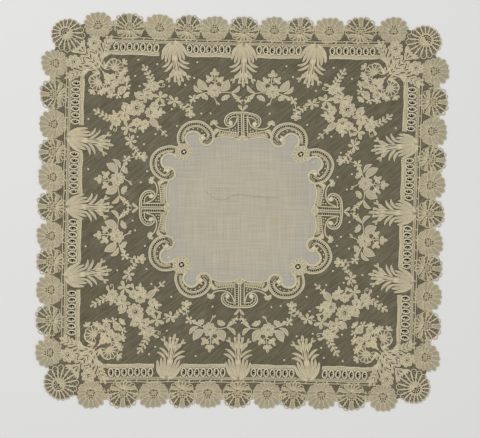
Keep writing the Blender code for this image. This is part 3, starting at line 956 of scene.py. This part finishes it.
# %% Outline of the net and of the linen
NET_INSET = 1.0
QUARTER_LINEN = (
    (0.0, 66.0), (5.0, 68.2), (13.0, 69.2), (21.0, 68.8), (25.6, 66.8), (27.4, 63.2), (30.4, 61.4),
    (34.2, 61.2), (37.4, 63.2), (38.4, 66.6), (38.6, 69.8), (40.8, 72.2), (44.6, 73.3), (48.8, 72.0),
    (51.3, 68.6), (51.2, 64.6), (49.6, 60.6), (49.6, 55.4),
)
LINEN_CORNER = (50.4, 50.4)
NET_CORNER = (56.8, 56.8)
NET_TURN = (52.6, 57.4)


def cartouche(corner_point, grow):
    """The edge of the linen all round, or of the net's opening."""
    half = list(QUARTER_LINEN)
    if corner_point == NET_CORNER:
        half[-1] = NET_TURN
    quarter = half + [corner_point] + [(y, x) for x, y in half[:0:-1]]
    loop = []
    for side in range(SIDES):
        loop += turned_quarter(quarter, (SIDES - side) % SIDES, False).tolist()
    return [(x * (1.0 + grow / math.hypot(x, y)), y * (1.0 + grow / math.hypot(x, y))) for x, y in loop]


def scallops(inset):
    """The outer edge of the net all round, inset from the tips of the shells."""
    side_run = []
    for step in range(-98, 99):
        along = 1.5 * step
        height = 175.6 - inset
        for middle, half_width in SHELLS:
            off = (abs(along) - middle) / (half_width - inset)
            if abs(off) < 1.0:
                height = max(height, SHELL_OUT + (SHELL_HEIGHT - inset) * math.sqrt(1.0 - off * off))
        side_run.append((-along, height))
    turn = [around(ROSETTE, 132.0 + 8.0 * step, ROSETTE_RADIUS - inset) for step in range(-22, 1)]
    loop = []
    for side in range(SIDES):
        loop += turned_quarter(turn + side_run, side, False).tolist()
    return loop


def filled_sheet(name, loops, spacing, height):
    """A flat sheet inside the first loop and outside the others, cut to a grid and laid in the cloth."""
    line = bpy.data.curves.new(name, "CURVE")
    line.dimensions = "2D"
    line.fill_mode = "BOTH"
    for loop in loops:
        run = line.splines.new("POLY")
        run.points.add(len(loop) - 1)
        for spot, (x, y) in zip(run.points, loop):
            spot.co = (x, y, 0.0, 1.0)
        run.use_cyclic_u = True
    holder = bpy.data.objects.new(name, line)
    flat = bpy.data.meshes.new_from_object(holder)
    bpy.data.objects.remove(holder)
    sheet = bmesh.new()
    sheet.from_mesh(flat)
    bpy.data.meshes.remove(flat)
    bmesh.ops.remove_doubles(sheet, verts=sheet.verts[:], dist=0.001)
    for axis in (Vector((1.0, 0.0, 0.0)), Vector((0.0, 1.0, 0.0))):
        for step in range(int(-190 / spacing), int(190 / spacing) + 1):
            everything = sheet.verts[:] + sheet.edges[:] + sheet.faces[:]
            bmesh.ops.bisect_plane(sheet, geom=everything, plane_co=axis * spacing * step, plane_no=axis)
    for face in sheet.faces:
        face.normal_update()
        if face.normal.z < 0.0:
            face.normal_flip()
    mesh = bpy.data.meshes.new(name)
    sheet.to_mesh(mesh)
    sheet.free()
    points = np.empty(len(mesh.vertices) * 3)
    mesh.vertices.foreach_get("co", points)
    points = points.reshape(-1, 3)
    points[:, 2] = height
    mesh.vertices.foreach_set("co", (lay(points) * MM).ravel())
    mesh.update()
    piece = bpy.data.objects.new(name, mesh)
    bpy.context.collection.objects.link(piece)
    return piece


net_loops = [scallops(NET_INSET), cartouche(NET_CORNER, 0.3)] + [hole.tolist() for hole in net_holes]
net = filled_sheet("net_sheet", net_loops, 4.0, NET_HEIGHT)
net_area = sum(face.area for face in net.data.polygons)
print("net:", len(net.data.polygons), "faces,", round(net_area, 4), "square metres,", len(net_holes),
    "holes")

# %% [markdown]
# ### Net finish
# The meshes are six-sided and about a millimetre wide. Three waves at sixty degrees peak in the middle of
# each mesh, so their sum tells thread from hole, and the holes are half clear. Old net is drawn into fine
# streaks. They come from noise that is stretched along a slanting direction.

# %% Net finish
NET_PITCH = 0.00115
NET_STRAY = (0.0012, 0.0012, 0.0)
NET_CLEAR = 0.42
STREAK_TURN = -38.0


def net_finish():
    """Fine six-sided net, half see-through, with streaks."""
    made = bpy.data.materials.new("fine net")
    made.use_nodes = True
    tree = made.node_tree
    shader = tree.nodes["Principled BSDF"]
    spot = add_node(tree, "TexCoord").outputs["Object"]
    drift = add_node(tree, "TexNoise", {"Vector": spot, "Scale": 60.0, "Detail": 1.0}).outputs["Color"]
    moved = add_node(tree, "VectorMath", {0: drift, 1: NET_STRAY}, operation="MULTIPLY").outputs[0]
    place_in_net = add_node(tree, "VectorMath", {0: spot, 1: moved}, operation="ADD").outputs[0]
    total = 0.0
    for angle in (0.0, 60.0, 120.0):
        wave = 2.0 / math.sqrt(3.0) * math.tau / NET_PITCH
        ahead = (wave * math.cos(math.radians(angle)), wave * math.sin(math.radians(angle)), 0.0)
        phase = add_node(tree, "VectorMath", {0: place_in_net, 1: ahead}, operation="DOT_PRODUCT")
        total = math_node(tree, "ADD", math_node(tree, "COSINE", phase.outputs["Value"]), total)
    hole = math_node(tree, "MULTIPLY", math_node(tree, "SUBTRACT", total, 0.1), 0.8, clamp=True)
    slant = (0.0, 0.0, math.radians(STREAK_TURN))
    turned = add_node(tree, "Mapping", {"Vector": spot, "Rotation": slant}).outputs[0]
    drawn = add_node(tree, "Mapping", {"Vector": turned, "Scale": (60.0, 620.0, 1.0)}).outputs[0]
    streak = add_node(tree, "TexNoise", {"Vector": drawn, "Scale": 1.0, "Detail": 3.0}).outputs["Fac"]
    age = use_group(tree, AGE, {"Vector": spot, "Patch size": 0.09})
    light = math_node(tree, "MULTIPLY", math_node(tree, "SUBTRACT", streak, 0.36), 3.2, clamp=True)
    tone = mix_colour(tree, light, (0.125, 0.108, 0.066, 1.0), (0.20, 0.176, 0.115, 1.0))
    shade = math_node(tree, "ADD", math_node(tree, "MULTIPLY", age["Mottle"], 0.6), 0.7)
    shaded = mix_colour(tree, 1.0, tone, shade, "MULTIPLY")
    tree.links.new(shaded, shader.inputs["Base Color"])
    clear = math_node(tree, "MULTIPLY", hole, NET_CLEAR)
    tree.links.new(math_node(tree, "SUBTRACT", 1.0, clear), shader.inputs["Alpha"])
    threads = math_node(tree, "SUBTRACT", 1.0, hole)
    bump = add_node(tree, "Bump", {"Height": threads, "Strength": 0.3, "Distance": 0.0001})
    tree.links.new(bump.outputs[0], shader.inputs["Normal"])
    shader.inputs["Roughness"].default_value = 0.85
    shader.inputs["Specular IOR Level"].default_value = 0.2
    return made


materials["net"] = net_finish()
net.data.materials.append(materials["net"])
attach(net, "root")
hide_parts("net_ground")

# %% [markdown]
# ### Dots on the net
# Small dots of thread are worked over the open net. They are set in staggered rows, a little out of line,
# and none is worked where a motif is near: a tree of all the stitches finds the nearest one.

# %% Dots
DOT_STEP = 13.5
DOT_ROW = 0.86
DOT_STRAY = 2.4
DOT_RADIUS = 1.05
DOT_GAP = 3.4
DOT_FIELD = 142.0
CARTOUCHE_REACH = 80.0
CARTOUCHE_HALF = 66.0
near = KDTree(len(stitch_spots))
for count, (x, y) in enumerate(stitch_spots):
    near.insert((x, y, 0.0), count)
near.balance()
cloth = new_cloth()
dots = 0
for row in range(-12, 13):
    for column in range(-11, 12):
        x = DOT_STEP * (column + 0.5 * (row % 2)) + DOT_STRAY * math.sin(5.3 * row + 3.1 * column)
        y = DOT_STEP * DOT_ROW * row + DOT_STRAY * math.sin(2.7 * row + 7.9 * column)
        far = max(abs(x), abs(y))
        on_linen = math.hypot(x, y) < CARTOUCHE_REACH and far < CARTOUCHE_HALF
        if far > DOT_FIELD or on_linen or near.find((x, y, 0.0))[2] < DOT_GAP:
            continue
        knot(cloth, x, y, DOT_RADIUS)
        dots += 1
dot_mesh = finished_mesh(cloth, "net_dots")
dot_points = np.empty(len(dot_mesh.vertices) * 3)
dot_mesh.vertices.foreach_get("co", dot_points)
dot_points = dot_points.reshape(-1, 3)
dot_points[:, 2] -= STITCH_HEIGHT + WALL - NET_HEIGHT
dot_mesh.vertices.foreach_set("co", (lay(dot_points) * MM).ravel())
dot_piece = bpy.data.objects.new("net_dots", dot_mesh)
dot_mesh.materials.append(materials["flower lace"])
bpy.context.collection.objects.link(dot_piece)
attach(dot_piece, "root")
print(dots, "dots")

# %% [markdown]
# ## Linen
# The centre is fine linen, slubby and a little sheer, greyer at its edge than in its middle. It has a thin
# brown crease line and a few old stains. The slubs are noise stretched along each set of threads. The
# crease is a height that changes with x, drawn with a curve node, and a soft band round it.

# %% Linen sheet
linen = filled_sheet("linen_sheet", [cartouche(LINEN_CORNER, 0.0)], 5.0, LINEN_HEIGHT)
linen_area = sum(face.area for face in linen.data.polygons)
print("linen:", len(linen.data.polygons), "faces,", round(linen_area, 4), "square metres")

# %% Linen finish
CREASE = (
    (-0.036, 0.021), (-0.031, 0.0165), (-0.0197, 0.0107),
    (-0.0058, 0.0154), (0.012, 0.0142), (0.034, 0.0126),
)
CREASE_REACH = 0.08
CREASE_MIDDLE = 0.016
CREASE_SPAN = 0.02
CREASE_HALF_WIDTH = 0.0007
CREASE_END = 0.0345
STAINS = ((0.031, -0.008, 0.0035, 0.5), (-0.032, 0.0005, 0.005, 0.18), (-0.004, -0.012, 0.004, 0.15))


def stain(tree, parts, x, y, radius, depth):
    """A soft round stain at a place on the linen."""
    right = math_node(tree, "SUBTRACT", parts["X"], x)
    up = math_node(tree, "SUBTRACT", parts["Y"], y)
    far = math_node(tree, "SQRT", math_node(tree, "ADD", math_node(tree, "MULTIPLY", right, right),
                                            math_node(tree, "MULTIPLY", up, up)))
    share = math_node(tree, "SUBTRACT", 1.0, math_node(tree, "DIVIDE", far, radius), clamp=True)
    return math_node(tree, "MULTIPLY", share, depth)


def crease_band(tree, parts):
    """A thin line over the linen, where y is near the curve's value at x."""
    share = math_node(tree, "ADD", math_node(tree, "DIVIDE", parts["X"], CREASE_REACH), 0.5)
    bend = tree.nodes.new("ShaderNodeFloatCurve")
    tree.links.new(share, bend.inputs["Value"])
    line = bend.mapping.curves[0]
    for spot, (x, y) in zip([line.points[0], line.points[1]], (CREASE[0], CREASE[-1])):
        spot.location = (x / CREASE_REACH + 0.5, (y - CREASE_MIDDLE) / CREASE_SPAN + 0.5)
    for x, y in CREASE[1:-1]:
        line.points.new(x / CREASE_REACH + 0.5, (y - CREASE_MIDDLE) / CREASE_SPAN + 0.5)
    bend.mapping.update()
    rise = math_node(tree, "MULTIPLY", math_node(tree, "SUBTRACT", bend.outputs[0], 0.5), CREASE_SPAN)
    height = math_node(tree, "ADD", rise, CREASE_MIDDLE)
    gap = math_node(tree, "ABSOLUTE", math_node(tree, "SUBTRACT", parts["Y"], height))
    band = math_node(tree, "SUBTRACT", 1.0, math_node(tree, "DIVIDE", gap, CREASE_HALF_WIDTH), clamp=True)
    inside = math_node(tree, "LESS_THAN", math_node(tree, "ABSOLUTE", parts["X"]), CREASE_END)
    return math_node(tree, "MULTIPLY", band, inside)


def linen_finish():
    """Fine linen with slubs, a crease line and old stains."""
    made = bpy.data.materials.new("fine linen")
    made.use_nodes = True
    tree = made.node_tree
    shader = tree.nodes["Principled BSDF"]
    spot = add_node(tree, "TexCoord").outputs["Object"]
    parts = add_node(tree, "SeparateXYZ", {0: spot}).outputs
    age = use_group(tree, AGE, {"Vector": spot, "Patch size": 0.07})
    weave = use_group(tree, WEAVE, {"Vector": spot, "Pitch": 0.0005})
    across = add_node(tree, "Mapping", {"Vector": spot, "Scale": (30.0, 900.0, 1.0)}).outputs[0]
    down = add_node(tree, "Mapping", {"Vector": spot, "Scale": (900.0, 30.0, 1.0)}).outputs[0]
    weft = add_node(tree, "TexNoise", {"Vector": across, "Scale": 1.0, "Detail": 2.0}).outputs["Fac"]
    warp = add_node(tree, "TexNoise", {"Vector": down, "Scale": 1.0, "Detail": 2.0}).outputs["Fac"]
    slub = math_node(tree, "ADD", weft, warp)
    far = add_node(tree, "VectorMath", {0: spot}, operation="LENGTH").outputs["Value"]
    edge = math_node(tree, "MULTIPLY", math_node(tree, "SUBTRACT", far, 0.045), 28.0, clamp=True)
    tone = mix_colour(tree, edge, (0.485, 0.435, 0.325, 1.0), (0.43, 0.405, 0.335, 1.0))
    shade = math_node(tree, "ADD", math_node(tree, "MULTIPLY", slub, 0.42), 0.56)
    mottled = math_node(tree, "ADD", math_node(tree, "MULTIPLY", age["Mottle"], 0.14), 0.93)
    shaded = mix_colour(tree, 1.0, tone, math_node(tree, "MULTIPLY", shade, mottled), "MULTIPLY")
    crease = math_node(tree, "MULTIPLY", crease_band(tree, parts), 0.5)
    marked = mix_colour(tree, crease, shaded, (0.26, 0.17, 0.08, 1.0))
    for x, y, radius, depth in STAINS:
        marked = mix_colour(tree, stain(tree, parts, x, y, radius, depth), marked, OCHRE)
    tree.links.new(marked, shader.inputs["Base Color"])
    bump = add_node(tree, "Bump", {"Height": weave["Height"], "Strength": 0.3, "Distance": 0.0001})
    tree.links.new(bump.outputs[0], shader.inputs["Normal"])
    shader.inputs["Roughness"].default_value = 0.8
    shader.inputs["Specular IOR Level"].default_value = 0.25
    shader.inputs["Sheen Weight"].default_value = 0.1
    return made


materials["linen"] = linen_finish()
linen.data.materials.append(materials["linen"])
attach(linen, "root")
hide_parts("linen_centre")

# %% [markdown]
# ## Floor and light
# The cloth lies on a plain pale floor under soft light. Lace needs something dark behind its holes, so a
# dark card lies flush in the floor, a little smaller than the cloth, and shows only through the lace.

# %% Floor, card and lights
def plain_material(name, colour, roughness):
    """A plain matt finish for the stage."""
    made = bpy.data.materials.new(name)
    made.use_nodes = True
    made.node_tree.nodes["Principled BSDF"].inputs["Base Color"].default_value = colour
    made.node_tree.nodes["Principled BSDF"].inputs["Roughness"].default_value = roughness
    return made


FLOOR_HALF = 6.0
CARD_INSET = 3.0
CARD_HEIGHT = 0.03 * MM
WORLD_STRENGTH = 0.44
floor_mesh = bpy.data.meshes.new("floor")
ground = bmesh.new()
bmesh.ops.create_grid(ground, x_segments=1, y_segments=1, size=FLOOR_HALF)
ground.to_mesh(floor_mesh)
ground.free()
floor = bpy.data.objects.new("floor", floor_mesh)
floor_mesh.materials.append(plain_material("pale floor", (0.78, 0.77, 0.75, 1.0), 0.9))
bpy.context.collection.objects.link(floor)
card = filled_sheet("dark_card", [scallops(CARD_INSET)], 8.0, 0.0)
card_points = np.empty(len(card.data.vertices) * 3)
card.data.vertices.foreach_get("co", card_points)
card_points[2::3] = CARD_HEIGHT
card.data.vertices.foreach_set("co", card_points)
card.data.materials.append(plain_material("dark card", (0.004, 0.004, 0.004, 1.0), 0.95))

LIGHTS = {"key": ((-0.9, 0.9, 1.9), 1.2, 27.0), "fill": ((1.1, -0.8, 1.7), 1.8, 9.0)}
for name, (spot, size, power) in LIGHTS.items():
    lamp = bpy.data.lights.new(name, "AREA")
    lamp.size = size
    lamp.energy = power
    lit = bpy.data.objects.new(name, lamp)
    lit.location = spot
    lit.rotation_euler = (-Vector(spot)).to_track_quat("-Z", "Y").to_euler()
    bpy.context.collection.objects.link(lit)
world = bpy.data.worlds.new("studio")
world.use_nodes = True
world.node_tree.nodes["Background"].inputs["Color"].default_value = (0.95, 0.97, 1.0, 1.0)
world.node_tree.nodes["Background"].inputs["Strength"].default_value = WORLD_STRENGTH
bpy.context.scene.world = world
bpy.context.scene.view_settings.view_transform = "Standard"

# %% [markdown]
# ## The cloth as a whole
# The triangles of the lace, the net, the linen and the dots are counted.

# %% Triangles in all
total = 0
for piece in lace_pieces + [net, linen, dot_piece]:
    piece.data.calc_loop_triangles()
    total += len(piece.data.loop_triangles)
print("triangles in all:", total)
